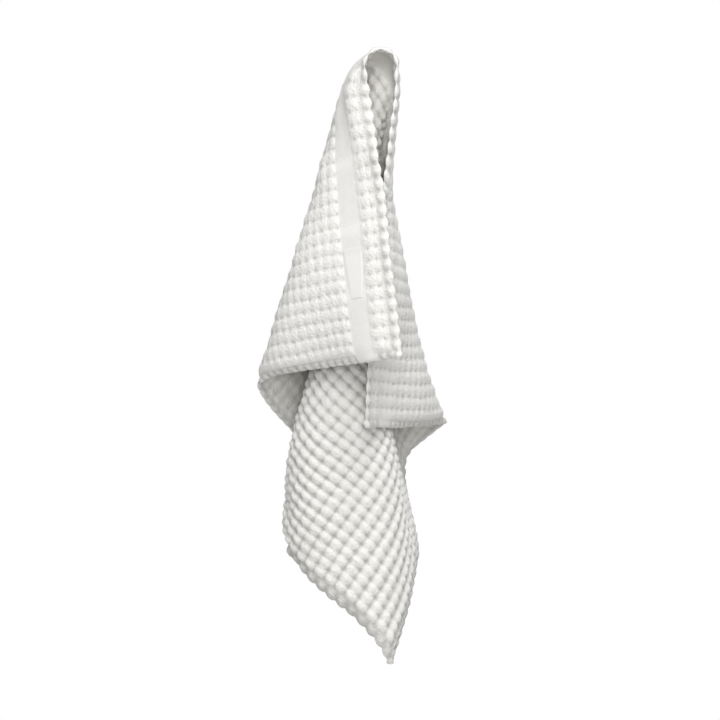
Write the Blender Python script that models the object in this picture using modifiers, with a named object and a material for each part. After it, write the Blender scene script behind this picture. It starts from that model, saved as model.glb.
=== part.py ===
"""A hand towel of waffle cloth, hung by one point of its long edge, with its tape loop.

Run with: blender --background --python part.py
Lengths below are in millimetres and angles in degrees. MM turns lengths into Blender's metres.
X runs right, Y runs back and Z runs up. The origin is the point under the arch where the towel is held.
"""

import bmesh
import bpy
import numpy as np

MM = 0.001

# The cloth as cut: cells of one size, woven with an even grid of them.
CELL = 13.5
CELLS_LONG = 52
CELLS_WIDE = 37
CLOTH_THICKNESS = 3.0

# The hanging point lies on a long edge, this far from the corner that hangs in front.
FRONT_CORNER_TO_RIM = 317.0

# The top of the arch: the cloth bends over a round peg that shows nowhere and isn't built.
ARCH_RADIUS = 16.0
ARCH_REACH = 22.0
ARCH_HALF = 11.0
RIM_X = 0.0
RIM_Y = -22.0
ARCH_TOP_Z = 3.3

# A step along each line of the cloth as its fall is added up, and the least fall in one step.
STEP = 10.0
LEAST_FALL = 2.0

# Distances from the rim, measured in the cloth, at which the fold table gives a place.
RINGS = (50.0, 120.0, 220.0, 340.0, 440.0, 600.0)

# One row for each fold or panel, going round the hanging point from the front edge to the other edge.
# angle is measured in the cloth from the long edge. x and y are the place of that line at each ring,
# and z is given for the first ring only: below it each line falls by what is left of its own length.
FOLD_COLUMNS = (
    "name", "angle",
    "x50", "y50", "z50", "x120", "y120", "x220", "y220", "x340", "y340", "x440", "y440", "x600", "y600",
)
FOLDS = (
    ("front edge", 0, -11, -17, -42, -2, -33, 9, -50, 21, -64, 29, -76, 41, -96),
    ("front panel, outer", 10, -20, -14, -41, -17, -20, -21, -26, -29, -26, -35, -28, -41, -32),
    ("front panel, inner", 20, -28, -8, -38, -32, -5, -49, 1, -69, 22, -83, 32, -99, 52),
    ("left fold, front", 29, -33, -2, -34, -46, 10, -75, 21, -107, 50, -125, 64, -149, 92),
    ("left fold, crest", 33, -34, 1, -32, -52, 16, -84, 33, -115, 66, -130, 90, -155, 132),
    ("left fold, back", 37, -34, 4, -30, -54, 23, -79, 46, -102, 81, -112, 114, -129, 162),
    ("inner left layer", 45, -31, 12, -25, -50, 39, -64, 73, -71, 112, -76, 150, -83, 192),
    ("first lobe, rising", 52, -29, 19, -20, -46, 53, -65, 98, -79, 150, -83, 194, -82, 212),
    ("first lobe, crest", 58, -27, 24, -15, -43, 65, -67, 118, -90, 180, -67, 224, -50, 222),
    ("first lobe, inner side", 63, -25, 28, -11, -39, 74, -63, 136, -72, 194, -47, 204, -33, 202),
    ("valley between lobes", 69, -22, 31, -7, -33, 79, -52, 151, -55, 162, -38, 162, -27, 172),
    ("second lobe, left side", 75, -19, 33, -4, -25, 79, -34, 155, -34, 184, -22, 200, -15, 212),
    ("second lobe, crest", 81, -15, 34, -2, -19, 73, -18, 142, -14, 206, 1, 228, 11, 232),
    ("second lobe, right side", 87, -11, 35, -2, -16, 62, -18, 121, -1, 178, 15, 196, 27, 202),
    ("neck, outer", 94, -7, 36, -3, -20, 49, -30, 98, -20, 143, -7, 158, 1, 172),
    ("neck, inner", 102, -2, 36, -6, -25, 34, -41, 72, -43, 106, -37, 112, -41, 132),
    ("tail, left side", 109, 2, 35, -11, -22, 22, -35, 42, -59, 70, -78, 96, -89, 124),
    ("tail, left crest", 113, 5, 34, -15, -17, 16, -23, 34, -57, 48, -86, 72, -90, 86),
    ("tail, ridge", 117, 8, 32, -19, -9, 16, -10, 34, -42, 34, -68, 52, -80, 62),
    ("tail, middle", 123, 12, 27, -24, 0, 24, 3, 50, -11, 38, -22, 48, -23, 60),
    ("tail, right front", 128, 14, 23, -27, 2, 34, -1, 67, 2, 64, 9, 60, 11, 70),
    ("tail, right side", 132, 15, 19, -30, 0, 42, -11, 78, -2, 88, 14, 88, 34, 96),
    ("right valley, front", 138, 16, 13, -33, -2, 54, -13, 104, -9, 122, 13, 134, 57, 142),
    ("right valley, back", 144, 17, 8, -35, 4, 61, 2, 114, 7, 148, 18, 174, 49, 202),
    ("right fold, back", 150, 17, 3, -37, 9, 53, 15, 98, 31, 148, 53, 198, 75, 228),
    ("right fold, crest", 155, 17, -1, -38, 9, 43, 18, 79, 41, 124, 69, 166, 91, 202),
    ("right fold, front", 161, 17, -6, -40, 9, 30, 18, 57, 37, 92, 62, 124, 81, 152),
    ("second panel, inner", 168, 17, -11, -41, 9, 16, 18, 31, 15, 66, 27, 90, 35, 108),
    ("second panel, outer", 174, 17, -15, -42, 10, 4, 17, 9, 1, 34, 1, 54, -3, 70),
    ("second edge", 180, 16, -19, -43, 10, -8, 1, -4, -13, 3, -19, 14, -29, 24),
)

# The hanging loop: one tape, doubled, sewn to the plain band of the front panel.
# It lies this far down the cloth from the long edge, and its sewn end is this far along that edge from the rim.
LOOP_DOWN_CLOTH = 45.0
LOOP_TOP_ALONG = 197.0
LOOP_LENGTH = 51.0
LOOP_TOP_WIDTH = 18.0
LOOP_END_WIDTH = 9.0
TAPE_THICKNESS = 1.0
TAPE_TURN_RADIUS = 0.8
LOOP_GAP = 0.6
TAPE_LEG_STEPS = 8
TAPE_TURN_STEPS = 4
TAPE_ACROSS = 2

CLOTH_COLOUR = (0.86, 0.86, 0.85, 1.0)
TAPE_COLOUR = (0.88, 0.88, 0.87, 1.0)
CLOTH_ROUGHNESS = 0.95
TAPE_ROUGHNESS = 0.85


def clear_scene():
    for obj in list(bpy.data.objects):
        bpy.data.objects.remove(obj, do_unlink=True)


def slopes(knots, values):
    """The slope at each knot, the mean of its two spans weighted by the other span's length."""
    span = np.diff(knots)
    rise = np.diff(values, axis=0) / span[:, None]
    found = np.empty_like(values)
    found[0] = rise[0]
    found[-1] = rise[-1]
    before = span[:-1, None]
    after = span[1:, None]
    found[1:-1] = (rise[:-1] * after + rise[1:] * before) / (before + after)
    return found


def smooth(knots, values, at):
    """Reads a smooth curve through the values at the knots, one column for each quantity."""
    slope = slopes(knots, values)
    low = np.clip(np.searchsorted(knots, at) - 1, 0, len(knots) - 2)
    span = (knots[low + 1] - knots[low])[:, None]
    t = ((at - knots[low]) / (knots[low + 1] - knots[low]))[:, None]
    return (
        (1 + 2 * t) * (1 - t) ** 2 * values[low]
        + t * (1 - t) ** 2 * span * slope[low]
        + t * t * (3 - 2 * t) * values[low + 1]
        + t * t * (t - 1) * span * slope[low + 1]
    )


def arch_point(angle, distance):
    """The place of a point of the cloth near the rim, where it lies over the round peg."""
    sideways = distance * np.cos(angle)
    back = distance * np.sin(angle)
    turn = sideways / ARCH_RADIUS
    x = RIM_X - ARCH_RADIUS * np.sin(turn)
    z = ARCH_TOP_Z - ARCH_RADIUS * (1 - np.cos(turn))
    return x, RIM_Y + back, z


def fold_values(degrees):
    """The fold table's numbers at any angle, by column name."""
    angles = np.array([row[1] for row in FOLDS], float)
    numbers = np.array([row[2:] for row in FOLDS], float)
    read = smooth(angles, numbers, degrees)
    return {name: read[:, i] for i, name in enumerate(FOLD_COLUMNS[2:])}


def fall_lines(degrees, last):
    """Each line from the rim down the cloth: its places at even steps of its own length."""
    angle = np.radians(degrees)
    table = fold_values(degrees)
    near = [arch_point(angle, ARCH_HALF), arch_point(angle, ARCH_REACH)]
    knots = np.array((ARCH_HALF, ARCH_REACH) + RINGS)
    xs = np.array([place[0] for place in near] + [table[f"x{ring:.0f}"] for ring in RINGS])
    ys = np.array([place[1] for place in near] + [table[f"y{ring:.0f}"] for ring in RINGS])
    top = RINGS[0]
    zs = np.array([place[2] for place in near] + [table[f"z{top:.0f}"]])
    steps = np.arange(0.0, last + STEP, STEP)
    inside = np.clip(steps, ARCH_HALF, RINGS[-1])
    x = smooth(knots, xs, inside)
    y = smooth(knots, ys, inside)
    # Past the last ring a line runs on as it went.
    past = np.maximum(steps - RINGS[-1], 0.0)[:, None]
    x += past * slopes(knots, xs)[-1]
    y += past * slopes(knots, ys)[-1]
    z = smooth(knots[:3], zs, np.clip(steps, ARCH_HALF, top))
    for i, distance in enumerate(steps):
        if distance <= ARCH_REACH:
            x[i], y[i], z[i] = arch_point(angle, distance)
        elif distance > top:
            across = (x[i] - x[i - 1]) ** 2 + (y[i] - y[i - 1]) ** 2
            z[i] = z[i - 1] - np.sqrt(np.maximum(STEP**2 - across, LEAST_FALL**2))
    return steps, x, y, z


def cloth_points(degrees, distance):
    """Places in the hung cloth of points given by angle and distance from the rim."""
    steps, *places = fall_lines(degrees, distance.max() + STEP)
    low = np.clip((distance / STEP).astype(int), 0, len(steps) - 2)
    part = distance / STEP - low
    line = np.arange(len(distance))
    return np.stack([p[low, line] * (1 - part) + p[low + 1, line] * part for p in places], axis=1)


def cloth_face(degrees, distance):
    """Places in the cloth and the directions square to them, towards the front."""
    small = 1.0
    here = cloth_points(degrees, distance)
    down = cloth_points(degrees, distance + small) - here
    round_rim = cloth_points(degrees + np.degrees(small / distance), distance) - here
    square = np.cross(down, round_rim)
    square /= np.linalg.norm(square, axis=1)[:, None]
    return here, square * np.where(square[:, 1:2] > 0, -1.0, 1.0)


def material(name, colour, roughness):
    made = bpy.data.materials.new(name)
    made.use_nodes = True
    shader = made.node_tree.nodes["Principled BSDF"]
    shader.inputs["Base Color"].default_value = colour
    shader.inputs["Roughness"].default_value = roughness
    shader.inputs["Metallic"].default_value = 0.0
    return made


def grid_object(name, collection, across, along, place, thickness, finish):
    """A grid of faces, moved vertex by vertex to its place and given its thickness."""
    mesh = bpy.data.meshes.new(name)
    grid = bmesh.new()
    bmesh.ops.create_grid(grid, x_segments=across, y_segments=along, size=0.5)
    flat = np.array([vertex.co[:2] for vertex in grid.verts]) + 0.5
    for vertex, point in zip(grid.verts, place(flat[:, 0], flat[:, 1])):
        vertex.co = point * MM
    bmesh.ops.recalc_face_normals(grid, faces=grid.faces)
    grid.to_mesh(mesh)
    grid.free()
    mesh.shade_smooth()
    mesh.materials.append(finish)
    obj = bpy.data.objects.new(name, mesh)
    collection.objects.link(obj)
    # The longer diagonal of a bent face runs along its fold, so the crests stay smooth.
    halves = obj.modifiers.new("halves", "TRIANGULATE")
    halves.quad_method = "LONGEST_DIAGONAL"
    shell = obj.modifiers.new("thickness", "SOLIDIFY")
    shell.thickness = thickness * MM
    shell.offset = 0.0
    return obj


def towel_place(u, v):
    """u runs along the long edge from the front corner and v runs down the cloth, both from 0 to 1."""
    along_edge = u * CELLS_LONG * CELL - FRONT_CORNER_TO_RIM
    down = v * CELLS_WIDE * CELL
    degrees = np.degrees(np.arctan2(down, -along_edge))
    return cloth_points(degrees, np.hypot(along_edge, down))


def build_towel(collection):
    finish = material("waffle_cloth", CLOTH_COLOUR, CLOTH_ROUGHNESS)
    return grid_object("towel", collection, CELLS_LONG, CELLS_WIDE, towel_place, CLOTH_THICKNESS, finish)


def loop_place(u, v):
    """v runs along the tape: down its back leg, round the turn and up its front leg. u runs across it."""
    leg = LOOP_LENGTH - TAPE_TURN_RADIUS
    back_leg = CLOTH_THICKNESS / 2 + LOOP_GAP + TAPE_THICKNESS / 2
    spot = np.rint(v * (2 * TAPE_LEG_STEPS + TAPE_TURN_STEPS)).astype(int)
    turning = np.clip(spot - TAPE_LEG_STEPS, 0, TAPE_TURN_STEPS) / TAPE_TURN_STEPS
    legs_done = np.minimum(spot, TAPE_LEG_STEPS) - np.maximum(spot - TAPE_LEG_STEPS - TAPE_TURN_STEPS, 0)
    down = leg * legs_done / TAPE_LEG_STEPS + TAPE_TURN_RADIUS * np.sin(np.pi * turning)
    proud = back_leg + TAPE_TURN_RADIUS * (1 - np.cos(np.pi * turning))
    width = LOOP_TOP_WIDTH + (LOOP_END_WIDTH - LOOP_TOP_WIDTH) * down / LOOP_LENGTH
    along_edge = LOOP_TOP_ALONG + down
    down_cloth = LOOP_DOWN_CLOTH + (u - 0.5) * width
    degrees = np.degrees(np.arctan2(down_cloth, along_edge))
    here, square = cloth_face(degrees, np.hypot(along_edge, down_cloth))
    return here + square * proud[:, None]


def build_loop(collection):
    finish = material("tape", TAPE_COLOUR, TAPE_ROUGHNESS)
    along = 2 * TAPE_LEG_STEPS + TAPE_TURN_STEPS
    return grid_object("hanging_loop", collection, TAPE_ACROSS, along, loop_place, TAPE_THICKNESS, finish)


def main():
    clear_scene()
    collection = bpy.data.collections.new("hand_towel")
    bpy.context.scene.collection.children.link(collection)
    build_towel(collection)
    build_loop(collection)


main()
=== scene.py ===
import math

import bpy
import numpy as np
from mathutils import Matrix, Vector


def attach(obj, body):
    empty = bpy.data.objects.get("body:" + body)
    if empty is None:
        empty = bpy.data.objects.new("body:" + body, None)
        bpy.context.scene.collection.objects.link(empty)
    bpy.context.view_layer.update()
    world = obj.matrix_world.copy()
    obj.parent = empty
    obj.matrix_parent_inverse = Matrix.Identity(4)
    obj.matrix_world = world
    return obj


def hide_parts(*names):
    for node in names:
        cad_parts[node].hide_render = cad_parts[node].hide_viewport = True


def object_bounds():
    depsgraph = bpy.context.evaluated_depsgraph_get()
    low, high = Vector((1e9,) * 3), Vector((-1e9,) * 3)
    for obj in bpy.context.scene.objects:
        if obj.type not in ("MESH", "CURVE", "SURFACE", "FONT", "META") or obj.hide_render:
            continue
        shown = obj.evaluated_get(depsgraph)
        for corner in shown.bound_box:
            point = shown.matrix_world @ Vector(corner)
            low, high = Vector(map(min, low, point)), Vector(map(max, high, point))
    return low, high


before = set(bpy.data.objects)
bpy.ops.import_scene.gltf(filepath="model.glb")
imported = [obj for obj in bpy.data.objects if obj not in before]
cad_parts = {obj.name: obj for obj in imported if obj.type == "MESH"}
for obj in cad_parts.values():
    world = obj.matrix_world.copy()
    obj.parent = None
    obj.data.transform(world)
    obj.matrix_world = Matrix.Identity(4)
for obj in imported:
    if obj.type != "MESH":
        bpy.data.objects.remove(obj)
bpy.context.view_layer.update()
mm = 0.001
tiny = 1e-9  # keeps a division by a length of nothing from failing

# The cloth as cut. u runs along the long edge from the front corner, v runs down the cloth.
towelCut = {
    "cell": 13.5,
    "cellsLong": 52,
    "cellsWide": 37,
    "cornerToRim": 317.0,  # from the front corner to the hanging point, along the edge
}

# The top of the arch, where the cloth bends over a round peg that isn't built.
arch = {
    "radius": 16.0,
    "reach": 22.0,
    "half": 11.0,
    "rimY": -22.0,
    "topZ": 0.8,  # lower than the solid's by the height of the weave
    "roundTo": 42.0,  # the fine cloth follows the round arch as far as this from the rim, less the fade
    "roundFade": 18.0,
}

# One row for each fold, going round the hanging point. x and y are its place at each distance
# from the rim; z is given at the first, and below it each line falls by what is left of its length.
foldRings = (50.0, 120.0, 220.0, 340.0, 440.0, 600.0)
foldColumns = (
    "name", "angle",
    "x50", "y50", "z50", "x120", "y120", "x220", "y220", "x340", "y340", "x440", "y440", "x600", "y600",
)
folds = (
    ("front edge", 0, -11, -17, -42, -2, -33, 9, -50, 21, -64, 29, -76, 41, -96),
    ("front panel, outer", 10, -20, -14, -41, -17, -20, -21, -26, -29, -26, -35, -28, -41, -32),
    ("front panel, inner", 20, -28, -8, -38, -32, -5, -49, 1, -69, 22, -83, 32, -99, 52),
    ("left fold, front", 29, -33, -2, -34, -46, 10, -75, 21, -107, 50, -125, 64, -149, 92),
    ("left fold, crest", 33, -34, 1, -32, -52, 16, -84, 33, -115, 66, -130, 90, -155, 132),
    ("left fold, back", 37, -34, 4, -30, -54, 23, -79, 46, -102, 81, -112, 114, -129, 162),
    ("inner left layer", 45, -31, 12, -25, -50, 39, -64, 73, -71, 112, -76, 150, -83, 192),
    ("first lobe, rising", 52, -29, 19, -20, -46, 53, -65, 98, -79, 150, -83, 194, -82, 212),
    ("first lobe, crest", 58, -27, 24, -15, -43, 65, -67, 118, -90, 180, -67, 224, -50, 222),
    ("first lobe, inner side", 63, -25, 28, -11, -39, 74, -63, 136, -72, 194, -47, 204, -33, 202),
    ("valley between lobes", 69, -22, 31, -7, -33, 79, -52, 151, -55, 162, -38, 162, -27, 172),
    ("second lobe, left side", 75, -19, 33, -4, -25, 79, -34, 155, -34, 184, -22, 200, -15, 212),
    ("second lobe, crest", 81, -15, 34, -2, -19, 73, -18, 142, -14, 206, 1, 228, 11, 232),
    ("second lobe, right side", 87, -11, 35, -2, -16, 62, -18, 121, -1, 178, 15, 196, 27, 202),
    ("neck, outer", 94, -7, 36, -3, -20, 49, -30, 98, -20, 143, -7, 158, 1, 172),
    ("neck, inner", 102, -2, 36, -6, -25, 34, -41, 72, -43, 106, -37, 112, -41, 132),
    ("tail, left side", 109, 2, 35, -11, -22, 22, -35, 42, -59, 70, -78, 96, -89, 124),
    ("tail, left crest", 113, 5, 34, -15, -17, 16, -23, 34, -57, 48, -86, 72, -90, 86),
    ("tail, ridge", 117, 8, 32, -19, -9, 16, -10, 34, -42, 34, -68, 52, -80, 62),
    ("tail, middle", 123, 12, 27, -24, 0, 24, 3, 50, -11, 38, -22, 48, -23, 60),
    ("tail, right front", 128, 14, 23, -27, 2, 34, -1, 67, 2, 64, 9, 60, 11, 70),
    ("tail, right side", 132, 15, 19, -30, 0, 42, -11, 78, -2, 88, 14, 88, 34, 96),
    ("right valley, front", 138, 16, 13, -33, -2, 54, -13, 104, -9, 122, 13, 134, 57, 142),
    ("right valley, back", 144, 17, 8, -35, 4, 61, 2, 114, 7, 148, 18, 174, 49, 202),
    ("right fold, back", 150, 17, 3, -37, 9, 53, 15, 98, 31, 148, 53, 198, 75, 228),
    ("right fold, crest", 155, 17, -1, -38, 9, 43, 18, 79, 41, 124, 69, 166, 91, 202),
    ("right fold, front", 161, 17, -6, -40, 9, 30, 18, 57, 37, 92, 62, 124, 81, 152),
    ("second panel, inner", 168, 17, -11, -41, 9, 16, 18, 31, 15, 66, 27, 90, 35, 108),
    ("second panel, outer", 174, 17, -15, -42, 10, 4, 17, 9, 1, 34, 1, 54, -3, 70),
    ("second edge", 180, 16, -19, -43, 10, -8, 1, -4, -13, 3, -19, 14, -29, 24),
)

# The settle: the cloth takes its woven lengths back while its edges hang on these lines.
settle = {
    "steps": 220,
    "fall": 0.05,  # gained in each step
    "drag": 0.88,  # the share of its speed that a point keeps
    "fastest": 4.0,
    "rounds": 6,  # of all the rules below, in each step
    "least": 0.95,  # a thread gives this far before it buckles or pulls, as shares of its length
    "most": 1.02,
    "shear": 0.35,  # the diagonals against the threads
    "stiff": 0.15,
    "heldFrom": 75.0,  # the arch keeps its shape as far as this from the rim, less the fade
    "heldFade": 40.0,
    "heldPull": 0.5,
    "foldPull": 0.02,  # towards the folds of the table, seen from above
    "clear": 10.0,  # between the middles of two layers
    "lookOut": 4.0,  # pairs as much further apart are watched as well
    "pegRadius": 13.0,
    "pegStart": (0.0, -34.0, -12.7),  # the peg's front end
    "pegLength": 60.0,
    "linePull": 0.4,  # towards the lines and the depths below
    "depthPull": 0.2,
}
# name, start (u, v), end (u, v), how many points hold it, and its (x, z) places on the way
hangLines = (
    ("front edge", (317, 0), (0, 0), 24,
     ((0, -1), (-14, -9), (-14, -29), (-9, -58), (-4, -97), (3.5, -146), (8, -197), (14, -244), (20, -300))),
    ("second edge", (317, 0), (702, 0), 29,
     ((0, -1), (10, -9), (15, -24), (12, -56), (6.5, -103), (1.5, -134), (-12, -308), (-14, -368))),
    ("front hem", (0, 0), (0, 214), 14,
     ((20, -300), (-5, -304), (-79, -313), (-105, -318), (-120, -326))),
    ("front hem, turned back", (0, 214), (0, 290), 6,
     ((-120, -326), (-115, -342), (-99, -360), (-82, -377))),
    ("second hem", (702, 0), (702, 208), 15, ((-14, -368), (19, -369), (65, -365))),
    ("second hem, turned back", (702, 208), (702, 265), 4, ((65, -366), (24, -396))),
    ("tail, right edge", (702, 375), (702, 500), 10, ((38, -491), (28, -541), (9, -604))),
    ("tail, lower edge", (549, 500), (702, 500), 11,
     ((-87, -496), (-70, -516), (-48, -536), (-24, -556), (-3, -576), (9, -604))),
    ("tail, ridge", (526, 353), (634, 500), 10, ((-35, -372), (-35, -548))),
    ("plain band", (287, 45), (0, 45), 20,
     ((-35, -33), (-37, -82), (-30, -166), (-27, -197), (-23, -244), (-16, -305))),
    ("left fold, neck", (300, 42), (262, 52), 3, ((-27, -13), (-35, -28), (-43, -56))),
    ("left fold, top", (255, 55), (162, 105), 3, ((-46, -69), (-64, -132), (-73, -166))),
    ("left fold, foot", (131, 119), (20, 198), 4, ((-82, -197), (-96, -244), (-108, -287), (-115, -305))),
    ("right fold, neck", (380, 38), (455, 75), 4, ((11, -57), (9, -77), (6, -100), (5, -136))),
    ("right fold, top", (450, 12), (548, 88), 3, ((9, -146), (16, -185), (26, -232))),
    ("right fold, foot", (606, 130), (672, 182), 3, ((36, -283), (43, -315), (53, -342))),
    ("tail, left side", (465, 411), (505, 455), 2, ((-82, -379), (-87, -440))),
    ("tail, left foot", (500, 499), (535, 499), 3, ((-87, -471), (-87, -482), (-88, -490))),
    ("second lobe, hem", (260, 499), (320, 499), 3, ((11, -404), (18, -402), (11, -412))),
)
# name, (u, v) and how far back it hangs
hangDepths = (
    ("front corner", 0, 0, -63), ("front edge, low", 100, 0, -56), ("front edge, middle", 200, 0, -46),
    ("left fold at the hem", 0, 214, 82), ("front hem, middle", 0, 110, 12), ("hem behind", 0, 290, 134),
    ("left fold, low", 86, 152, 60), ("left fold, high", 162, 105, 37), ("second corner", 702, 0, 14),
    ("second edge, low", 600, 0, 4), ("second edge, middle", 500, 0, -10),
    ("right fold at the hem", 702, 208, 192), ("second hem, middle", 702, 105, 102),
    ("second hem, behind", 702, 265, 202), ("right fold, low", 641, 158, 142),
    ("right fold, high", 548, 88, 72), ("tip", 702, 500, 72), ("tail, right edge", 702, 375, 122),
    ("tail, left corner", 549, 500, 107), ("tail, ridge top", 526, 353, 44),
    ("tail, ridge middle", 590, 440, 54), ("tail, left side high", 465, 411, 87),
    ("tail, left side low", 505, 455, 97), ("tail, ridge foot", 634, 500, 72),
)


def slopes(knots, values):
    span = np.diff(knots)
    rise = np.diff(values, axis=0) / span[:, None]
    found = np.empty_like(values)
    found[0] = rise[0]
    found[-1] = rise[-1]
    found[1:-1] = (rise[:-1] * span[1:, None] + rise[1:] * span[:-1, None]) / (span[1:] + span[:-1])[:, None]
    return found


def smoothRead(knots, values, at):
    # A smooth curve through the values at the knots, one column for each quantity.
    slope = slopes(knots, values)
    low = np.clip(np.searchsorted(knots, at) - 1, 0, len(knots) - 2)
    span = (knots[low + 1] - knots[low])[:, None]
    t = ((at - knots[low]) / (knots[low + 1] - knots[low]))[:, None]
    return (
        (1 + 2 * t) * (1 - t) ** 2 * values[low]
        + t * (1 - t) ** 2 * span * slope[low]
        + t * t * (3 - 2 * t) * values[low + 1]
        + t * t * (t - 1) * span * slope[low + 1]
    )


def archPoint(angle, distance):
    turn = distance * np.cos(angle) / arch["radius"]
    x = -arch["radius"] * np.sin(turn)
    z = arch["topZ"] - arch["radius"] * (1 - np.cos(turn))
    return x, arch["rimY"] + distance * np.sin(angle), z


def fallLines(degrees, last, step=10.0, leastFall=2.0):
    # Each line from the rim down the cloth: its places at even steps of its own length.
    angle = np.radians(degrees)
    angles = np.array([row[1] for row in folds], float)
    numbers = np.array([row[2:] for row in folds], float)
    table = dict(zip(foldColumns[2:], smoothRead(angles, numbers, degrees).T))
    near = [archPoint(angle, arch["half"]), archPoint(angle, arch["reach"])]
    knots = np.array((arch["half"], arch["reach"]) + foldRings)
    xs = np.array([place[0] for place in near] + [table[f"x{ring:.0f}"] for ring in foldRings])
    ys = np.array([place[1] for place in near] + [table[f"y{ring:.0f}"] for ring in foldRings])
    zs = np.array([place[2] for place in near] + [table[f"z{foldRings[0]:.0f}"]])
    steps = np.arange(0.0, last + step, step)
    inside = np.clip(steps, arch["half"], foldRings[-1])
    past = np.maximum(steps - foldRings[-1], 0.0)[:, None]
    x = smoothRead(knots, xs, inside) + past * slopes(knots, xs)[-1]
    y = smoothRead(knots, ys, inside) + past * slopes(knots, ys)[-1]
    z = smoothRead(knots[:3], zs, np.clip(steps, arch["half"], foldRings[0]))
    for i, distance in enumerate(steps):
        if distance <= arch["reach"]:
            x[i], y[i], z[i] = archPoint(angle, distance)
        elif distance > foldRings[0]:
            across = (x[i] - x[i - 1]) ** 2 + (y[i] - y[i - 1]) ** 2
            z[i] = z[i - 1] - np.sqrt(np.maximum(step**2 - across, leastFall**2))
    return step, x, y, z


def hungGrid():
    # The cloth on its main folds, one point for each corner of a cell.
    u, v = np.meshgrid(
        np.arange(towelCut["cellsLong"] + 1) * towelCut["cell"] - towelCut["cornerToRim"],
        np.arange(towelCut["cellsWide"] + 1) * towelCut["cell"],
        indexing="ij",
    )
    distance = np.hypot(u, v).ravel()
    degrees = np.degrees(np.arctan2(v, -u)).ravel()
    step, *places = fallLines(degrees, distance.max())
    low = np.clip((distance / step).astype(int), 0, len(places[0]) - 2)
    part = distance / step - low
    line = np.arange(len(distance))
    points = [p[low, line] * (1 - part) + p[low + 1, line] * part for p in places]
    return np.stack(points, axis=1).reshape(u.shape + (3,))


def gridPins(places, inside=0.001):
    # For points of the cloth given as (u, v): the four grid points round each and their shares.
    # A point on the far edges is taken as just inside the last cell.
    spot = np.array(places, float) / towelCut["cell"]
    spot = np.clip(spot, 0, (towelCut["cellsLong"] - inside, towelCut["cellsWide"] - inside))
    low = spot.astype(int)
    part = spot - low
    across = towelCut["cellsWide"] + 1
    first = low[:, 0] * across + low[:, 1]
    index = np.stack([first, first + across, first + 1, first + across + 1], axis=1)
    a, b = part[:, 0], part[:, 1]
    share = np.stack([(1 - a) * (1 - b), a * (1 - b), (1 - a) * b, a * b], axis=1)
    return index, share, (share**2).sum(axis=1)


def lineTargets():
    flat, places = [], []
    for name, start, end, count, way in hangLines:
        way = np.array(way, float)
        along = np.concatenate([[0], np.cumsum(np.hypot(*np.diff(way, axis=0).T))])
        for t in np.linspace(0, 1, count):
            flat.append((start[0] + t * (end[0] - start[0]), start[1] + t * (end[1] - start[1])))
            places.append([np.interp(t * along[-1], along, way[:, axis]) for axis in (0, 1)])
    return gridPins(flat), np.array(places)


def woven(shape):
    # The threads of the grid as pairs of points, in sets that share no point.
    ids = np.arange(shape[0] * shape[1]).reshape(shape)
    sets = []
    for first in (0, 1):
        for grid in (ids, ids.T):
            a = grid[first:-1:2]
            b = grid[first + 1::2][:len(a)]
            sets.append((a.ravel(), b.ravel(), towelCut["cell"], 1.0))
        for grid in (ids, ids[:, ::-1]):
            a = grid[first:-1:2, :-1]
            b = grid[first + 1::2, 1:][:len(a)]
            sets.append((a.ravel(), b.ravel(), math.sqrt(2) * towelCut["cell"], settle["shear"]))
    return sets


def straighten(grid, span, share):
    # Each point moves towards the middle of the two that lie span cells from it, and they give way.
    for way in (grid, grid.swapaxes(0, 1)):
        bow = 0.5 * (way[:-2 * span] + way[2 * span:]) - way[span:-span]
        way[span:-span] += 0.5 * share * bow
        way[:-2 * span] -= 0.25 * share * bow
        way[2 * span:] -= 0.25 * share * bow


def closePairs(points, row, column, reach, neighbours=2):
    # Pairs of points nearer than reach that aren't neighbours in the cloth.
    square = (points**2).sum(axis=1)
    apart = square[:, None] + square[None, :] - 2 * points @ points.T
    a, b = np.nonzero(np.triu(apart < reach**2, 1))
    far = np.abs(row[a] - row[b]) + np.abs(column[a] - column[b]) > neighbours
    return a[far], b[far]


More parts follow.
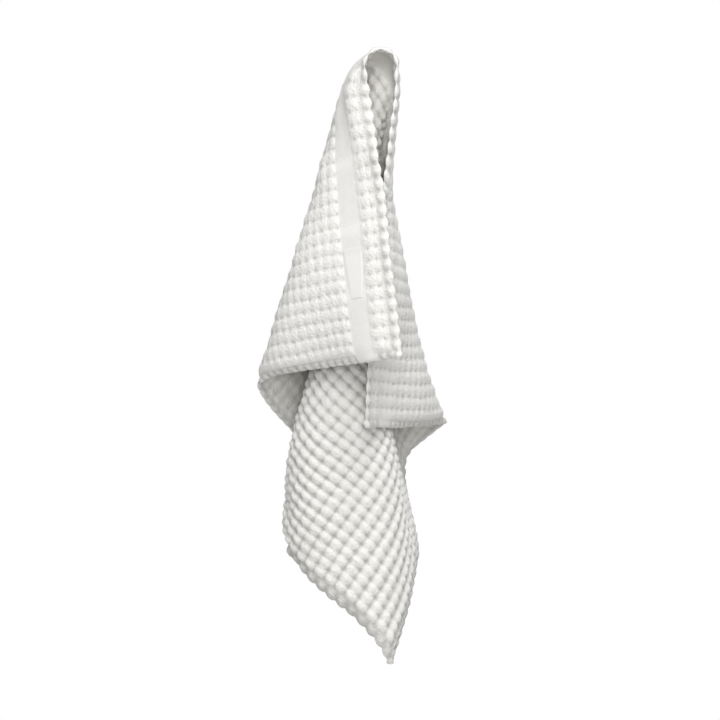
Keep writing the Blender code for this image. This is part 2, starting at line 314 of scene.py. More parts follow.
def settledGrid(grid):
    shape = grid.shape[:2]
    points = grid.reshape(-1, 3).copy()
    speed = np.zeros_like(points)
    row, column = np.divmod(np.arange(len(points)), shape[1])
    sets = woven(shape)
    (lineIndex, lineShare, lineWeight), linePlace = lineTargets()
    depthIndex, depthShare, depthWeight = gridPins([place[1:3] for place in hangDepths])
    depthPlace = np.array([place[3] for place in hangDepths], float)
    pegStart = np.array(settle["pegStart"])
    pegAlong = np.array([0.0, 1.0, 0.0])
    home = points.copy()
    fromRim = np.hypot(row * towelCut["cell"] - towelCut["cornerToRim"], column * towelCut["cell"])
    held = settle["heldPull"] * np.clip((settle["heldFrom"] - fromRim) / settle["heldFade"], 0, 1)[:, None]
    near = ((), ())
    for step in range(settle["steps"]):
        speed *= settle["drag"]
        speed[:, 2] -= settle["fall"]
        size = np.linalg.norm(speed, axis=1, keepdims=True)
        speed *= np.minimum(1, settle["fastest"] / np.maximum(size, tiny))
        moved = points + speed
        if step % 2 == 0:
            near = closePairs(moved, row, column, settle["clear"] + settle["lookOut"])
        for _ in range(settle["rounds"]):
            for a, b, rest, strength in sets:
                apart = moved[b] - moved[a]
                length = np.linalg.norm(apart, axis=1)
                excess = length - np.clip(length, rest * settle["least"], rest * settle["most"])
                change = (strength * 0.5 * excess / np.maximum(length, tiny))[:, None] * apart
                moved[a] += change
                moved[b] -= change
            straighten(moved.reshape(grid.shape), 1, settle["stiff"])
            straighten(moved.reshape(grid.shape), 2, 0.5 * settle["stiff"])
            moved[:, :2] += settle["foldPull"] * (home[:, :2] - moved[:, :2])
            moved += held * (home - moved)
            # The peg under the arch, from its front end back.
            along = np.clip((moved - pegStart) @ pegAlong, 0, settle["pegLength"])[:, None] * pegAlong
            away = moved - pegStart - along
            size = np.linalg.norm(away, axis=1)
            hit = size < settle["pegRadius"]
            short = (settle["pegRadius"] - size[hit]) / np.maximum(size[hit], tiny)
            moved[hit] += away[hit] * short[:, None]
            place = (moved[lineIndex] * lineShare[:, :, None]).sum(axis=1)
            for side, axis in ((0, 0), (1, 2)):
                pull = 0.5 * settle["linePull"] * (linePlace[:, side] - place[:, axis]) / lineWeight
                np.add.at(moved[:, axis], lineIndex, lineShare * pull[:, None])
            place = (moved[depthIndex, 1] * depthShare).sum(axis=1)
            pull = 0.5 * settle["depthPull"] * (depthPlace - place) / depthWeight
            np.add.at(moved[:, 1], depthIndex, depthShare * pull[:, None])
            if len(near[0]):
                a, b = near
                apart = moved[b] - moved[a]
                length = np.linalg.norm(apart, axis=1)
                tight = length < settle["clear"]
                push = 0.25 * (settle["clear"] - length[tight]) / np.maximum(length[tight], tiny)
                np.add.at(moved, b[tight], push[:, None] * apart[tight])
                np.add.at(moved, a[tight], -push[:, None] * apart[tight])
        speed = moved - points
        points = moved
    return points.reshape(grid.shape)


def gridReport(grid, start):
    long = np.linalg.norm(np.diff(grid, axis=0), axis=2) / towelCut["cell"]
    wide = np.linalg.norm(np.diff(grid, axis=1), axis=2) / towelCut["cell"]
    print("settled: long %.3f to %.3f, wide %.3f to %.3f of flat; moved %.1f mm on average" % (
        *np.percentile(long, (1, 99)), *np.percentile(wide, (1, 99)),
        np.linalg.norm(grid - start, axis=2).mean()))


startGrid = hungGrid()
clothGrid = settledGrid(startGrid)
gridReport(clothGrid, startGrid)


# The weave: ridges stand on the front face along the threads between the cells, and pillows on the
# reverse face in the middle of them. Places are counted in rows and columns of cells.
weave = {
    "rows": 52,  # along the long edge
    "columns": 46,  # down the cloth, where they lie nearer together
    "rowStops": (0.0, 0.26, 0.44, 0.56, 0.74),  # where the fine points lie in a row and in a column
    "columnStops": (0.0, 0.28, 0.5, 0.72),
    "halfThickness": 0.9,
    "frontHigh": 1.45,  # half the height of the front ridges across the long edge
    "frontColumn": 0.5,  # the height of those along the long edge, as a share of the others'
    "frontRib": 0.2,  # and how far they stand out on top of the others
    "backRow": 1.6,
    "backColumn": 1.5,
    "lean": 0.25,  # on the reverse, the columns' lead over the rows; past the tail's ridge it is the rows'
    "leanFrom": 37.0,  # rows
    "leanTo": 47.0,
    "roundness": 0.8,  # below 1 the ridges are broad and the grooves between them narrow
    "thinness": 1.4,  # above 1 the front ridges along the long edge are narrow
    "foldCalm": 0.6,  # how far the weave lies down in the sharpest folds
    "unevenness": 0.4,
    "lumpScale": 0.9,
    "wander": 0.12,  # how far the ridges stray, in cells
    "wanderScale": 0.45,
    "crumple": 0.55,  # the small lumps of shrunken yarn
    "crumpleScale": 2.6,
    "bandFrom": 2.9,  # the plain band, in columns from the long edge
    "bandTo": 5.25,
    "bandFade": 0.3,
    "bandCrumple": 0.2,  # the share of the crumple that is left on the band
    "bandCrease": 0.5,  # faint creases across the band
    "creaseEvery": 5.0,  # rows
    "creaseSharpness": 24.0,
    "bandWeave": 0.85,  # the share of the weave that shows through the band past the hanging point
    "bandWeaveFrom": 27.0,  # rows
    "bandWeaveTo": 31.0,
    "bead": 2.1,  # the height of the beads along the long edges
    "sideShare": 0.62,  # below 1 they are wider than those along the hems
    "hemBead": 1.6,  # and along the hems
    "beadRoundness": 0.8,
    "beadDip": 0.4,  # how far the thread sinks between two beads, as a share of the bead
    "groove": 0.6,  # the groove between the beads and the weave
    "scallop": 3.2,  # how far the beads stand out past the long edges
    "hemScallop": 0.7,  # and past the hems
    "scallopMiddle": 0.35,  # the share of a bead's shape that lies inside the edge
    "cornerBlob": 1.8,  # the knot of thread in each corner
    "beadShade": 0.35,  # the painted shade on the beads: how much darker they are painted than the crests of the weave
    "faceTone": 0.05,  # and the painted shade on the reverse: how much lighter the front face is painted than the reverse
    "pressed": 0.3,  # the share of the weave left where the hems turn back
    "pressedFrom": 17.4,  # columns from the long edge
    "pressedTo": 28.6,
    "pressedFade": 1.5,
    "pressedHem": 6.0,  # rows from the hem
    "pressedHemFade": 3.0,
    "bandYarn": 0.1,  # the share of the yarn's bump that shows on the band
    "seed": 7.0,
    "lumpSeed": 5.0,  # added to the seed for the unevenness
    "frontSeed": 9.0,  # and for the crumple of the front face
}
# Which of these are lengths, in millimetres.
weaveLengths = (
    "halfThickness", "frontHigh", "frontRib", "backRow", "backColumn", "crumple", "bandCrease",
    "bead", "hemBead", "groove", "scallop", "hemScallop", "cornerBlob",
)
# The zones of a hem from its edge inwards, in cells: where each rises, then where it falls again or
# the shares between which it changes.
hemZones = {
    "bead": (0.0, 0.2, 0.3, 0.56),
    "beadFirst": 0.2,  # the bead's height at the very edge, as a share
    "groove": (0.35, 0.5, 0.56, 0.8),
    "weave": (0.5, 0.8),
    "thickness": (0.0, 0.25, 0.45, 1.0),
    "corner": (0.1, 0.7),  # where the knot in a corner dies away
    "scallops": (0.2, 1.3),  # where they begin, counted from the corner
    "knotReach": (0.0, 0.2, -0.4, 0.9),  # the knot's flanks stand out further than its point
    "knotEnd": (0.0, 0.2, 0.4, 1.0),  # and it is thin at the point
}
weld = 0.02  # points of the shell's two faces nearer than this are one, in millimetres


def cellStops(count, stops):
    return np.append((np.arange(count)[:, None] + stops).ravel(), float(count))


def fineCloth(grid):
    # The settled cloth read on a smooth surface at the fine points of the weave.
    long = cellStops(weave["rows"], weave["rowStops"]) * towelCut["cellsLong"] / weave["rows"]
    wide = cellStops(weave["columns"], weave["columnStops"]) * towelCut["cellsWide"] / weave["columns"]
    rows = smoothRead(np.arange(grid.shape[0], dtype=float), grid.reshape(grid.shape[0], -1), long)
    rows = rows.reshape(len(long), grid.shape[1], 3).swapaxes(0, 1).reshape(grid.shape[1], -1)
    fine = smoothRead(np.arange(grid.shape[1], dtype=float), rows, wide)
    fine = fine.reshape(len(wide), len(long), 3).swapaxes(0, 1)
    # Near the rim the coarse grid has corners, so the fine one is drawn onto the round of the arch.
    fromRim = long * towelCut["cell"] - towelCut["cornerToRim"]
    u, v = np.meshgrid(fromRim, wide * towelCut["cell"], indexing="ij")
    distance = np.hypot(u, v)
    share = np.clip((arch["roundTo"] - distance) / arch["roundFade"], 0, 1)[..., None]
    place = np.stack(archPoint(np.arctan2(v, -u), distance), axis=-1)
    return long, wide, fine + share * (place - fine) * (distance < arch["roundTo"])[..., None]


def edgeOutward(fine):
    # For the points of the edges, the direction in the cloth that leads out of it.
    out = np.zeros_like(fine)
    out[0] += fine[0] - fine[1]
    out[-1] += fine[-1] - fine[-2]
    out[:, 0] += fine[:, 0] - fine[:, 1]
    out[:, -1] += fine[:, -1] - fine[:, -2]
    length = np.linalg.norm(out, axis=2, keepdims=True)
    return np.where(length > 0, out / np.maximum(length, tiny), 0)


def foldedShare(grid, long, wide, mildest=0.5, sharpest=1.1):
    # How sharply the cloth is folded at the fine points, from 0 to 1.
    bend = np.zeros(grid.shape[:2])
    bend[1:-1] = np.linalg.norm(grid[2:] - 2 * grid[1:-1] + grid[:-2], axis=2)
    side = np.linalg.norm(grid[:, 2:] - 2 * grid[:, 1:-1] + grid[:, :-2], axis=2)
    bend[:, 1:-1] = np.maximum(bend[:, 1:-1], side)
    bend[0], bend[-1] = bend[1], bend[-2]
    share = np.clip((bend / towelCut["cell"] - mildest) / (sharpest - mildest), 0, 1)
    rows = smoothRead(np.arange(grid.shape[0], dtype=float), share, long)
    return np.clip(smoothRead(np.arange(grid.shape[1], dtype=float), rows.T, wide).T, 0, 1)


def sheetMesh(name, fine, long, wide, folded):
    # The middle surface of the cloth, with each point's place in the weave and its way out at an edge.
    rows, columns = fine.shape[:2]
    ids = np.arange(rows * columns).reshape(rows, columns)
    faces = np.stack([ids[:-1, :-1], ids[1:, :-1], ids[1:, 1:], ids[:-1, 1:]], axis=-1).reshape(-1, 4)
    mesh = bpy.data.meshes.new(name)
    mesh.from_pydata((fine.reshape(-1, 3) * mm).tolist(), [], faces.tolist())
    along = long * weave["rows"] / towelCut["cellsLong"]
    down = wide * weave["columns"] / towelCut["cellsWide"]
    place = np.stack(np.meshgrid(along, down, indexing="ij") + [np.zeros((rows, columns))], axis=-1)
    for attribute, values in (("cell", place), ("outward", edgeOutward(fine))):
        layer = mesh.attributes.new(attribute, "FLOAT_VECTOR", "POINT")
        layer.data.foreach_set("vector", values.astype(np.float32).ravel())
    layer = mesh.attributes.new("folded", "FLOAT", "POINT")
    layer.data.foreach_set("value", folded.astype(np.float32).ravel())
    return mesh


class Tree:
    # A node tree with short calls for the nodes used here.
    def __init__(self, group):
        self.group = group

    def put(self, socket, value):
        if isinstance(value, bpy.types.NodeSocket):
            self.group.links.new(value, socket)
        else:
            socket.default_value = value

    def node(self, kind, values=(), **settings):
        made = self.group.nodes.new(kind)
        for key, value in settings.items():
            setattr(made, key, value)
        for key, value in dict(values).items():
            self.put(made.inputs[key], value)
        return made

    def out(self, kind, values=(), **settings):
        return self.node(kind, values, **settings).outputs[0]

    def math(self, operation, *values, **settings):
        return self.out("ShaderNodeMath", dict(enumerate(values)), operation=operation, **settings)

    def times(self, first, *others):
        for other in others:
            first = self.math("MULTIPLY", first, other)
        return first

    def plus(self, first, *others):
        for other in others:
            first = self.math("ADD", first, other)
        return first

    def less(self, first, other):
        return self.math("SUBTRACT", first, other)

    def swing(self, value):
        # What ran from 0 to 1 runs from -1 to 1.
        return self.less(self.times(value, 2.0), 1.0)

    def mix(self, share, none, whole):
        return self.out("ShaderNodeMix", {0: share, 2: none, 3: whole}, data_type="FLOAT")

    def ramp(self, value, low, high, first=0.0, last=1.0):
        return self.out("ShaderNodeMapRange", {
            "Value": value, "From Min": low, "From Max": high, "To Min": first, "To Max": last,
        }, interpolation_type="SMOOTHSTEP")

    def zone(self, value, riseFrom, riseTo, fallFrom, fallTo, first=0.0):
        rise = self.ramp(value, riseFrom, riseTo, first)
        return self.times(rise, self.ramp(value, fallFrom, fallTo, 1.0, 0.0))

    def vector(self, operation, *values):
        return self.out("ShaderNodeVectorMath", dict(enumerate(values)), operation=operation)

    def scaled(self, value, scale):
        return self.out("ShaderNodeVectorMath", {0: value, "Scale": scale}, operation="SCALE")

    def attribute(self, name, kind="FLOAT"):
        found = self.node("GeometryNodeInputNamedAttribute", {"Name": name}, data_type=kind)
        return found.outputs["Attribute"]

    def store(self, geometry, name, value, kind="FLOAT", selection=True):
        return self.out("GeometryNodeStoreNamedAttribute", {
            "Geometry": geometry, "Selection": selection, "Name": name, "Value": value,
        }, data_type=kind, domain="POINT")

    def noise(self, place, seed, scale):
        return self.node("ShaderNodeTexNoise", {
            "Vector": place, "W": seed, "Scale": scale, "Detail": 1.0,
        }, noise_dimensions="4D")

    def join(self, *parts):
        both = self.node("GeometryNodeJoinGeometry")
        for part in parts:
            self.group.links.new(part, both.inputs[0])
        return both.outputs[0]

    def leave(self, geometry):
        # Each tree ends as real geometry that carries its material.
        whole = self.out("GeometryNodeRealizeInstances", {"Geometry": geometry})
        painted = self.out("GeometryNodeSetMaterial", {"Geometry": whole, "Material": self.size["Material"]})
        self.put(self.group.nodes.new("NodeGroupOutput").inputs[0], painted)
        return self.group


def geometryTree(name, numbers):
    # A tree from a mesh to a mesh, with the numbers and the material as its named inputs.
    group = bpy.data.node_groups.new(name, "GeometryNodeTree")
    group.interface.new_socket("Mesh", in_out="INPUT", socket_type="NodeSocketGeometry")
    for label, value in numbers.items():
        socket = group.interface.new_socket(label, in_out="INPUT", socket_type="NodeSocketFloat")
        socket.default_value = value
    group.interface.new_socket("Material", in_out="INPUT", socket_type="NodeSocketMaterial")
    group.interface.new_socket("Mesh", in_out="OUTPUT", socket_type="NodeSocketGeometry")
    made = Tree(group)
    made.size = group.nodes.new("NodeGroupInput").outputs
    return made


def weaveInputs():
    # The weave's numbers under the names of the tree's inputs: halfThickness becomes Half Thickness.
    numbers = {}
    for key, value in weave.items():
        if isinstance(value, tuple):
            continue
        label = "".join(" " + letter if letter.isupper() else letter for letter in key).title()
        numbers[label] = value * (mm if key in weaveLengths else 1.0)
    return numbers


def waffleTree():
    t = geometryTree("waffle weave", weaveInputs())
    size = t.size
    # The shell: the sheet's faces drawn out by nothing, and the sheet itself turned over.
    kept = t.store(size["Mesh"], "across", t.out("GeometryNodeInputNormal"), "FLOAT_VECTOR")
    drawn = t.node("GeometryNodeExtrudeMesh", {
        "Mesh": kept, "Offset Scale": 0.0, "Individual": False,
    }, mode="FACES").outputs
    front = t.store(drawn["Mesh"], "front", 1.0, selection=drawn["Top"])
    turned = t.store(t.out("GeometryNodeFlipFaces", {"Mesh": kept}), "front", 0.0)

    cell = t.attribute("cell", "FLOAT_VECTOR")
    u, v, _ = t.node("ShaderNodeSeparateXYZ", {0: cell}).outputs
    isFront = t.math("GREATER_THAN", t.attribute("front"), 0.5)
    stray = t.noise(cell, size["Seed"], size["Wander Scale"]).outputs["Color"]
    strays = t.node("ShaderNodeSeparateXYZ", {0: stray}).outputs
    uStray = t.plus(u, t.times(t.swing(strays[0]), size["Wander"]))
    vStray = t.plus(v, t.times(t.swing(strays[1]), size["Wander"]))
    lumps = t.noise(cell, t.plus(size["Seed"], size["Lump Seed"]), size["Lump Scale"]).outputs[0]
    lump = t.plus(1.0, t.times(t.swing(lumps), size["Unevenness"]))

    def waves(value):
        return t.math("ABSOLUTE", t.math("COSINE", t.times(value, math.pi)))

    def crest(value, power="Roundness"):
        return t.math("POWER", waves(value), size[power])

    def between(value):
        # The crests that stand in the middle of the cells.
        return t.math("POWER", waves(t.plus(value, 0.5)), size["Roundness"])

    # On the front the ridges run through one another at one height, and each cell is a pit.
    rib = crest(vStray, "Thinness")
    pit = t.times(t.less(1.0, crest(uStray)), t.less(1.0, t.times(size["Front Column"], rib)))
    frontRelief = t.plus(
        t.times(size["Front High"], t.swing(t.less(1.0, pit))),
        t.times(size["Front Rib"], t.swing(rib)),
    )
    leans = t.times(t.swing(t.ramp(u, size["Lean From"], size["Lean To"])), size["Lean"])
    backRelief = t.plus(
        t.times(size["Back Row"], t.plus(1.0, leans), t.swing(between(uStray))),
        t.times(size["Back Column"], t.less(1.0, leans), t.swing(between(vStray))),
    )
    relief = t.times(t.mix(isFront, backRelief, frontRelief), lump)
    yarnSeed = t.plus(t.times(isFront, size["Front Seed"]), size["Seed"])
    crumple = t.times(t.swing(t.noise(cell, yarnSeed, size["Crumple Scale"]).outputs[0]), size["Crumple"])

    # Beads run along the edges, one to a cell, and the weave dies away under them.
    fromEnd = t.math("MINIMUM", u, t.less(size["Rows"], u))
    fromSide = t.times(t.math("MINIMUM", v, t.less(size["Columns"], v)), size["Side Share"])
    fromEdge = t.math("MINIMUM", fromEnd, fromSide)
    fromCorner = t.math("MAXIMUM", fromEnd, fromSide)
    endNearer = t.math("LESS_THAN", fromEnd, fromSide)
    beadShape = t.math("POWER", waves(t.mix(endNearer, u, v)), size["Bead Roundness"])
    inBand = t.zone(
        v, t.less(size["Band From"], size["Band Fade"]), size["Band From"],
        size["Band To"], t.plus(size["Band To"], size["Band Fade"]),
    )
    offBand = t.less(1.0, inBand)
    atEdge = t.zone(fromEdge, *hemZones["bead"], first=hemZones["beadFirst"])
    groove = t.times(t.zone(fromEdge, *hemZones["groove"]), offBand)
    beadRise = t.less(t.times(beadShape, t.plus(1.0, size["Bead Dip"])), size["Bead Dip"])
    beadPart = t.times(beadRise, atEdge, offBand)
    # Past the hanging point the weave shows through the band.
    pastRim = t.ramp(u, size["Band Weave From"], size["Band Weave To"])
    shown = t.times(pastRim, t.times(size["Band Weave"], isFront))
    weavePart = t.times(t.ramp(fromEdge, *hemZones["weave"]), t.plus(offBand, t.times(inBand, shown)))
    # Where the hems turn back the weave is pressed nearly flat on the reverse.
    turnedBack = t.zone(
        v, size["Pressed From"], t.plus(size["Pressed From"], size["Pressed Fade"]),
        t.less(size["Pressed To"], size["Pressed Fade"]), size["Pressed To"],
    )
    hemEnd = t.plus(size["Pressed Hem"], size["Pressed Hem Fade"])
    nearHem = t.ramp(fromEnd, size["Pressed Hem"], hemEnd, 1.0, 0.0)
    turnedBack = t.times(turnedBack, nearHem, t.less(1.0, isFront))
    calm = t.less(1.0, t.times(size["Fold Calm"], t.attribute("folded")))
    stays = t.times(t.ramp(turnedBack, 0.0, 1.0, 1.0, size["Pressed"]), calm)

    beadHigh = t.mix(endNearer, size["Bead"], size["Hem Bead"])
    corner = t.ramp(fromCorner, *hemZones["corner"], 1.0, 0.0)
    creased = waves(t.math("DIVIDE", uStray, size["Crease Every"]))
    height = t.plus(
        t.times(relief, weavePart, stays),
        t.times(beadHigh, beadPart),
        t.times(crumple, t.ramp(offBand, 0.0, 1.0, size["Band Crumple"])),
        t.times(size["Band Crease"], t.math("POWER", creased, size["Crease Sharpness"]), inBand),
        t.times(size["Corner Blob"], corner),
    )
    height = t.less(height, t.times(size["Groove"], groove))
    knot = t.times(corner, t.ramp(fromCorner, *hemZones["knotEnd"]))
    thickness = t.math("MAXIMUM", t.ramp(fromEdge, *hemZones["thickness"]), knot)
    full = t.times(t.plus(size["Half Thickness"], height), thickness)
    lift = t.scaled(t.attribute("across", "FLOAT_VECTOR"), t.times(full, t.swing(isFront)))
    reach = t.mix(endNearer, size["Scallop"], size["Hem Scallop"])
    offCorner = t.ramp(fromCorner, *hemZones["scallops"])
    push = t.times(reach, offCorner, t.less(beadShape, size["Scallop Middle"]), calm)
    knotReach = t.ramp(fromCorner, *hemZones["knotReach"])
    push = t.plus(push, t.times(size["Corner Blob"], corner, knotReach))
    spread = t.scaled(t.attribute("outward", "FLOAT_VECTOR"), push)

    shell = t.out("GeometryNodeMergeByDistance", {
        "Geometry": t.join(turned, front), "Distance": weld * mm,
        "Selection": t.math("LESS_THAN", t.attribute("front"), 0.5),
    })
    # For the finish: how deep in the weave a point lies, from 0 in a pit to 1 on a crest, which the material
    # turns into painted shade in the pits, and how much of the yarn's own bump shows there.
    highest = t.plus(size["Back Row"], size["Back Column"])
    crestAt = t.out("ShaderNodeMapRange", {
        "Value": height, "From Min": t.times(highest, -1.0), "From Max": highest,
    })
    # Painted shade: the beads along the edges are painted darker.
    crestAt = t.less(crestAt, t.times(atEdge, offBand, size["Bead Shade"]))
    # Painted light and shade: the front face is painted lighter and the reverse face darker.
    crestAt = t.plus(crestAt, t.times(size["Face Tone"], t.swing(isFront)))
    marked = t.store(shell, "crest", crestAt)
    marked = t.store(marked, "yarn", t.ramp(offBand, 0.0, 1.0, size["Band Yarn"]))
    moved = t.out("GeometryNodeSetPosition", {"Geometry": marked, "Offset": t.vector("ADD", lift, spread)})
    return t.leave(t.out("GeometryNodeSetShadeSmooth", {"Geometry": moved}))


def throughNodes(name, mesh, group, settings):
    # Runs a node tree on a mesh and keeps the result as a plain mesh.
    source = bpy.data.objects.new(name + ", before", mesh)
    bpy.context.scene.collection.objects.link(source)
    modifier = source.modifiers.new(name, "NODES")
    modifier.node_group = group
    for item in group.interface.items_tree:
        if item.item_type == "SOCKET" and item.in_out == "INPUT" and item.name in settings:
            modifier[item.identifier] = settings[item.name]
    bpy.context.view_layer.update()
    graph = bpy.context.evaluated_depsgraph_get()
    result = bpy.data.meshes.new_from_object(source.evaluated_get(graph), depsgraph=graph)
    source.modifiers.clear()
    bpy.data.objects.remove(source)
    result.name = name
    made = bpy.data.objects.new(name, result)
    bpy.context.scene.collection.objects.link(made)
    return made


# What the finishes of both cloths have in common.
yarnLook = {
    "sheen": 0.15,
    "sheenRoughness": 0.6,
    "specular": 0.2,
    "throughColour": (1.0, 0.96, 0.9),  # red light goes furthest through the cloth
    "pitAt": 0.1,  # the depths in the weave, from 0 to 1, of the darkest and the lightest tone; the darker pits are painted shade
    "crestAt": 0.75,
    "mottle": 0.2,
    "mottleScale": 380.0,
    "noiseDetail": 3.0,
    "bumpStrength": 0.75,
}


def clothMaterial(name, look):
    made = bpy.data.materials.new(name)
    made.use_nodes = True
    t = Tree(made.node_tree)
    place = t.node("ShaderNodeTexCoord").outputs["Object"]

    def mark(attribute):
        return t.node("ShaderNodeAttribute", attribute_name=attribute).outputs["Fac"]

    def noise(scale):
        values = {"Vector": place, "Scale": scale, "Detail": yarnLook["noiseDetail"]}
        return t.node("ShaderNodeTexNoise", values).outputs["Fac"]

    # Painted shade: the pits and grooves of the weave are painted darker than the crests.
    pitShade = t.ramp(mark("crest"), yarnLook["pitAt"], yarnLook["crestAt"])
    mottled = t.math("MULTIPLY_ADD", noise(yarnLook["mottleScale"]), yarnLook["mottle"], pitShade)
    mottled = t.math("SUBTRACT", mottled, yarnLook["mottle"] / 2, use_clamp=True)
    colour = t.node("ShaderNodeMix", {
        "Factor": mottled, 6: (*look["dark"], 1.0), 7: (*look["light"], 1.0),
    }, data_type="RGBA").outputs[2]
    bump = t.node("ShaderNodeBump", {
        "Strength": yarnLook["bumpStrength"], "Distance": look["bumpHeight"] * mm,
        "Height": t.times(noise(look["yarnScale"]), mark("yarn")),
    })
    shader = made.node_tree.nodes["Principled BSDF"].inputs
    for socket, value in (
        ("Base Color", colour),
        ("Normal", bump.outputs["Normal"]),
        ("Roughness", look["roughness"]),
        ("Specular IOR Level", yarnLook["specular"]),
        ("Sheen Weight", yarnLook["sheen"]),
        ("Sheen Roughness", yarnLook["sheenRoughness"]),
        ("Subsurface Weight", look["through"]),
        ("Subsurface Radius", yarnLook["throughColour"]),
        ("Subsurface Scale", look["throughReach"] * mm),
    ):
        t.put(shader[socket], value)
    return made


waffleLook = {
    "light": (0.86, 0.845, 0.812),  # on the crests
    "dark": (0.54, 0.528, 0.506),  # in the pits, as painted shade
    "roughness": 0.95,
    "yarnScale": 360.0,
    "bumpHeight": 2.2,
    "through": 0.45,  # the share of light that goes on inside the cloth, and how far
    "throughReach": 7.0,
}
long, wide, fine = fineCloth(clothGrid)
sheet = sheetMesh("towel sheet", fine, long, wide, foldedShare(clothGrid, long, wide))
waffleFinish = clothMaterial("waffle_cloth", waffleLook)
towel = throughNodes("towel_cloth", sheet, waffleTree(), {"Material": waffleFinish})
print("towel: %d faces" % len(towel.data.polygons))

# The hanging loop: one tape, doubled, sewn to the plain band of the front panel.
loop = {
    "downCloth": 44.0,  # its line, from the long edge
    "topAlong": 199.0,  # its sewn end, from the rim
    "length": 52.0,
    "topWidth": 22.0,
    "endWidth": 13.0,
    "thickness": 0.4,
    "turnRadius": 0.24,
    "gap": 0.1,
    "seamLength": 3.0,  # its sewn end, which is turned under and so stands up
    "seamRise": 0.7,
    "legSteps": 18,
    "turnSteps": 6,
    "widthSteps": 6,
    "weld": 0.01,  # points nearer than this are one
    "sharpFrom": 40.0,
}
tapeLook = {
    "light": (0.87, 0.856, 0.83),
    "dark": (0.86, 0.847, 0.82),
    "roughness": 0.9,
    "yarnScale": 1400.0,
    "bumpHeight": 0.3,
    "through": 0.15,
    "throughReach": 4.0,
}
# The stitches across the sewn end.
stitches = {
    "length": 1.5,
    "thickness": 0.7,
    "pitch": 2.1,
    "sink": 0.1,
    "row": 1,  # the step of the outer leg on which they lie, from the sewn end
}


def clothAt(grid, u, v):
    # Places in the settled cloth and the directions square to its front face, for u and v in mm.
    i, j = u / towelCut["cell"], v / towelCut["cell"]
    a = np.clip(i.astype(int), 0, grid.shape[0] - 2)
    b = np.clip(j.astype(int), 0, grid.shape[1] - 2)
    s, t = (i - a)[:, None], (j - b)[:, None]
    near = grid[a, b] * (1 - s) + grid[a + 1, b] * s
    far = grid[a, b + 1] * (1 - s) + grid[a + 1, b + 1] * s
    here = near * (1 - t) + far * t
    square = np.cross(grid[a + 1, b] - grid[a, b], grid[a, b + 1] - grid[a, b])
    return here, square / np.linalg.norm(square, axis=1)[:, None]


def loopPlace(across, proud, down):
    along = loop["topAlong"] + down
    width = loop["topWidth"] + (loop["endWidth"] - loop["topWidth"]) * down / loop["length"]
    here, square = clothAt(clothGrid, towelCut["cornerToRim"] - along, loop["downCloth"] + across * width)
    proud = proud + loop["seamRise"] * np.clip(2 - down / loop["seamLength"], 0, 1)
    return here + square * proud[:, None]


def tapeTree():
    # The tape drawn out to its thickness, and a stitch at each step along the edges marked as its seam.
    t = geometryTree("tape and stitches", {
        "Thickness": loop["thickness"] * mm,
        "Stitch Length": stitches["length"] * mm,
        "Stitch Thickness": stitches["thickness"] * mm,
        "Stitch Pitch": stitches["pitch"] * mm,
        "Stitch Sink": stitches["sink"] * mm,
    })
    size = t.size
    half = t.times(size["Thickness"], 0.5)
    normal = t.out("GeometryNodeInputNormal")

    def lifted(mesh, reach):
        return t.out("GeometryNodeSetPosition", {"Geometry": mesh, "Offset": t.scaled(normal, reach)})

    low = lifted(size["Mesh"], t.times(half, -1.0))
    drawn = t.out("GeometryNodeExtrudeMesh", {
        "Mesh": low, "Offset Scale": size["Thickness"], "Individual": False,
    }, mode="FACES")
    shell = t.join(t.out("GeometryNodeFlipFaces", {"Mesh": low}), drawn)
    body = t.out("GeometryNodeMergeByDistance", {"Geometry": shell, "Distance": loop["weld"] * mm})

    seam = t.out("GeometryNodeSeparateGeometry", {
        "Geometry": lifted(size["Mesh"], t.less(half, size["Stitch Sink"])),
        "Selection": t.math("GREATER_THAN", t.attribute("seam"), 0.5),
    }, domain="POINT")
    line = t.out("GeometryNodeMeshToCurve", {"Mesh": seam})
    spots = t.node("GeometryNodeCurveToPoints", {
        "Curve": line, "Length": size["Stitch Pitch"],
    }, mode="LENGTH").outputs
    thin = t.times(size["Stitch Thickness"], 0.5)
    sewn = t.out("GeometryNodeInstanceOnPoints", {
        "Points": spots["Points"],
        "Instance": t.out("GeometryNodeMeshIcoSphere", {"Radius": 1.0, "Subdivisions": 2}),
        "Rotation": spots["Rotation"],
        "Scale": t.out("ShaderNodeCombineXYZ", {0: thin, 1: thin, 2: t.times(size["Stitch Length"], 0.5)}),
    })
    sewn = t.out("GeometryNodeRealizeInstances", {"Geometry": sewn})
    return t.leave(t.join(t.out("GeometryNodeSetShadeSmooth", {"Geometry": sewn}), body))


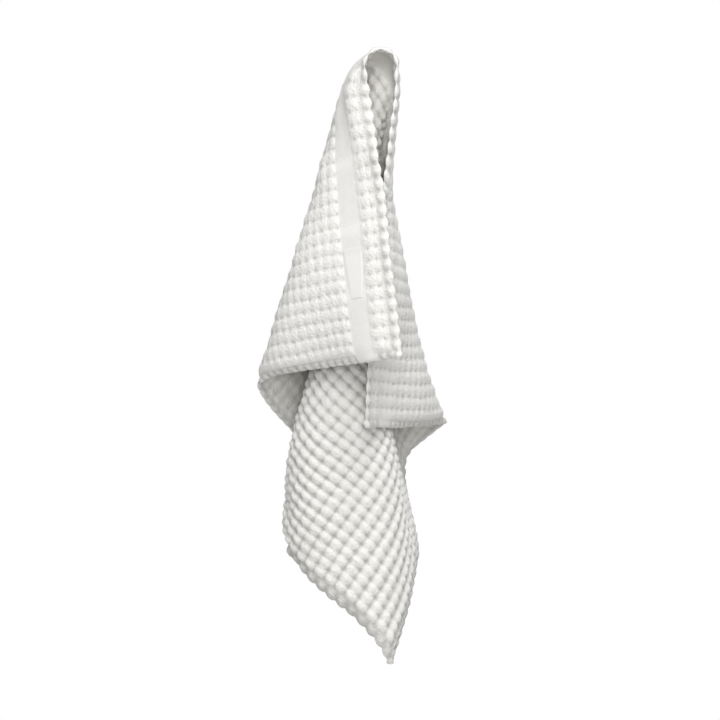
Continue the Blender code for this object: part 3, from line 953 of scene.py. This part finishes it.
def buildLoop(finish):
    leg = loop["length"] - loop["turnRadius"]
    count = 2 * loop["legSteps"] + loop["turnSteps"]
    spot = np.arange(count + 1)
    turning = np.clip(spot - loop["legSteps"], 0, loop["turnSteps"]) / loop["turnSteps"]
    done = np.minimum(spot, loop["legSteps"]) - np.maximum(spot - loop["legSteps"] - loop["turnSteps"], 0)
    down = leg * done / loop["legSteps"] + loop["turnRadius"] * np.sin(np.pi * turning)
    back = weave["halfThickness"] + loop["gap"] + loop["thickness"] / 2
    proud = back + loop["turnRadius"] * (1 - np.cos(np.pi * turning))
    wide = loop["widthSteps"] + 1
    across = np.tile(np.linspace(-0.5, 0.5, wide), count + 1)
    places = loopPlace(across, np.repeat(proud, wide), np.repeat(down, wide))
    ids = np.arange(len(places)).reshape(count + 1, wide)
    faces = np.stack([ids[:-1, :-1], ids[:-1, 1:], ids[1:, 1:], ids[1:, :-1]], axis=-1).reshape(-1, 4)
    mesh = bpy.data.meshes.new("tape sheet")
    mesh.from_pydata((places * mm).tolist(), [], faces.tolist())
    layer = mesh.attributes.new("seam", "FLOAT", "POINT")
    onSeam = np.repeat(spot == count - stitches["row"], wide)
    layer.data.foreach_set("value", onSeam.astype(np.float32))
    made = throughNodes("hanging_loop_tape", mesh, tapeTree(), {"Material": finish})
    made.data.set_sharp_from_angle(angle=math.radians(loop["sharpFrom"]))
    return made


tape = buildLoop(clothMaterial("tape", tapeLook))
print("hanging loop: %d faces" % len(tape.data.polygons))

for piece, node, slot in ((towel, "towel", "waffle_cloth"), (tape, "hanging_loop", "tape")):
    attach(piece, "root")
    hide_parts(node)

# The studio: a pale floor, soft light and the camera of the photograph. Its lengths are metres.
studio = {
    "floorDrop": 0.8,  # below the tip of the cloth
    "floorSize": 30.0,
    "floorColour": (0.85, 0.85, 0.84, 1.0),
    "floorRoughness": 0.9,
    "cameraAway": 12.0,
    "viewWide": 0.7056,  # what the picture shows at the towel's depth
    "viewCentre": (-0.0202, -0.3029),
    "viewDepth": 0.03,  # where that depth lies
    "sensor": 36.0,  # millimetres, as the lens
    "seesTo": 60.0,
    "worldLight": 0.46,
    "worldSeen": 1.0,  # the white that the camera sees behind the towel
}
# name, place, width and power in watts of each light
lights = (
    ("key", (0.25, -1.0, 1.3), 0.5, 13.0),
    ("front", (0.0, -1.0, 0.3), 0.4, 5.2),
    ("level", (0.02, -1.5, -0.14), 0.3, 5.6),
    ("back", (0.6, 2.6, 0.6), 2.0, 14.0),
)


def layFloor():
    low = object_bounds()[0]
    bpy.ops.mesh.primitive_plane_add(size=studio["floorSize"], location=(0, 0, low[2] - studio["floorDrop"]))
    floor = bpy.context.object
    floor.name = "floor"
    paint = bpy.data.materials.new("floor")
    paint.use_nodes = True
    shader = paint.node_tree.nodes["Principled BSDF"].inputs
    shader["Base Color"].default_value = studio["floorColour"]
    shader["Roughness"].default_value = studio["floorRoughness"]
    floor.data.materials.append(paint)


def placeCamera():
    camera = bpy.data.objects.new("camera", bpy.data.cameras.new("camera"))
    bpy.context.scene.collection.objects.link(camera)
    camera.location = (studio["viewCentre"][0], -studio["cameraAway"], studio["viewCentre"][1])
    camera.rotation_euler = (math.radians(90), 0, 0)
    away = studio["cameraAway"] + studio["viewDepth"]
    camera.data.sensor_width = studio["sensor"]
    camera.data.lens = studio["sensor"] * away / studio["viewWide"]
    camera.data.clip_end = studio["seesTo"]
    bpy.context.scene.camera = camera


def hangLights():
    for name, place, wide, power in lights:
        light = bpy.data.lights.new(name, "AREA")
        light.size = wide
        light.energy = power
        lamp = bpy.data.objects.new(name, light)
        lamp.location = place
        aim = Vector((-place[0], -place[1], studio["viewCentre"][1] - place[2]))
        lamp.rotation_euler = aim.to_track_quat("-Z", "Y").to_euler()
        bpy.context.scene.collection.objects.link(lamp)


def paintWorld():
    # The world is white for the camera and gives a softer light to the cloth.
    world = bpy.data.worlds.new("studio")
    world.use_nodes = True
    t = Tree(world.node_tree)
    seen = world.node_tree.nodes["Background"]
    seen.inputs["Color"].default_value = (1, 1, 1, 1)
    seen.inputs["Strength"].default_value = studio["worldSeen"]
    soft = t.out("ShaderNodeBackground", {"Color": (1, 1, 1, 1), "Strength": studio["worldLight"]})
    ray = t.node("ShaderNodeLightPath").outputs["Is Camera Ray"]
    mixed = t.out("ShaderNodeMixShader", {0: ray, 1: soft, 2: seen.outputs[0]})
    t.put(world.node_tree.nodes["World Output"].inputs["Surface"], mixed)
    bpy.context.scene.world = world
    bpy.context.scene.view_settings.view_transform = "Standard"


layFloor()
placeCamera()
hangLights()
paintWorld()
print("studio: floor, camera, %d lights and world" % len(lights))
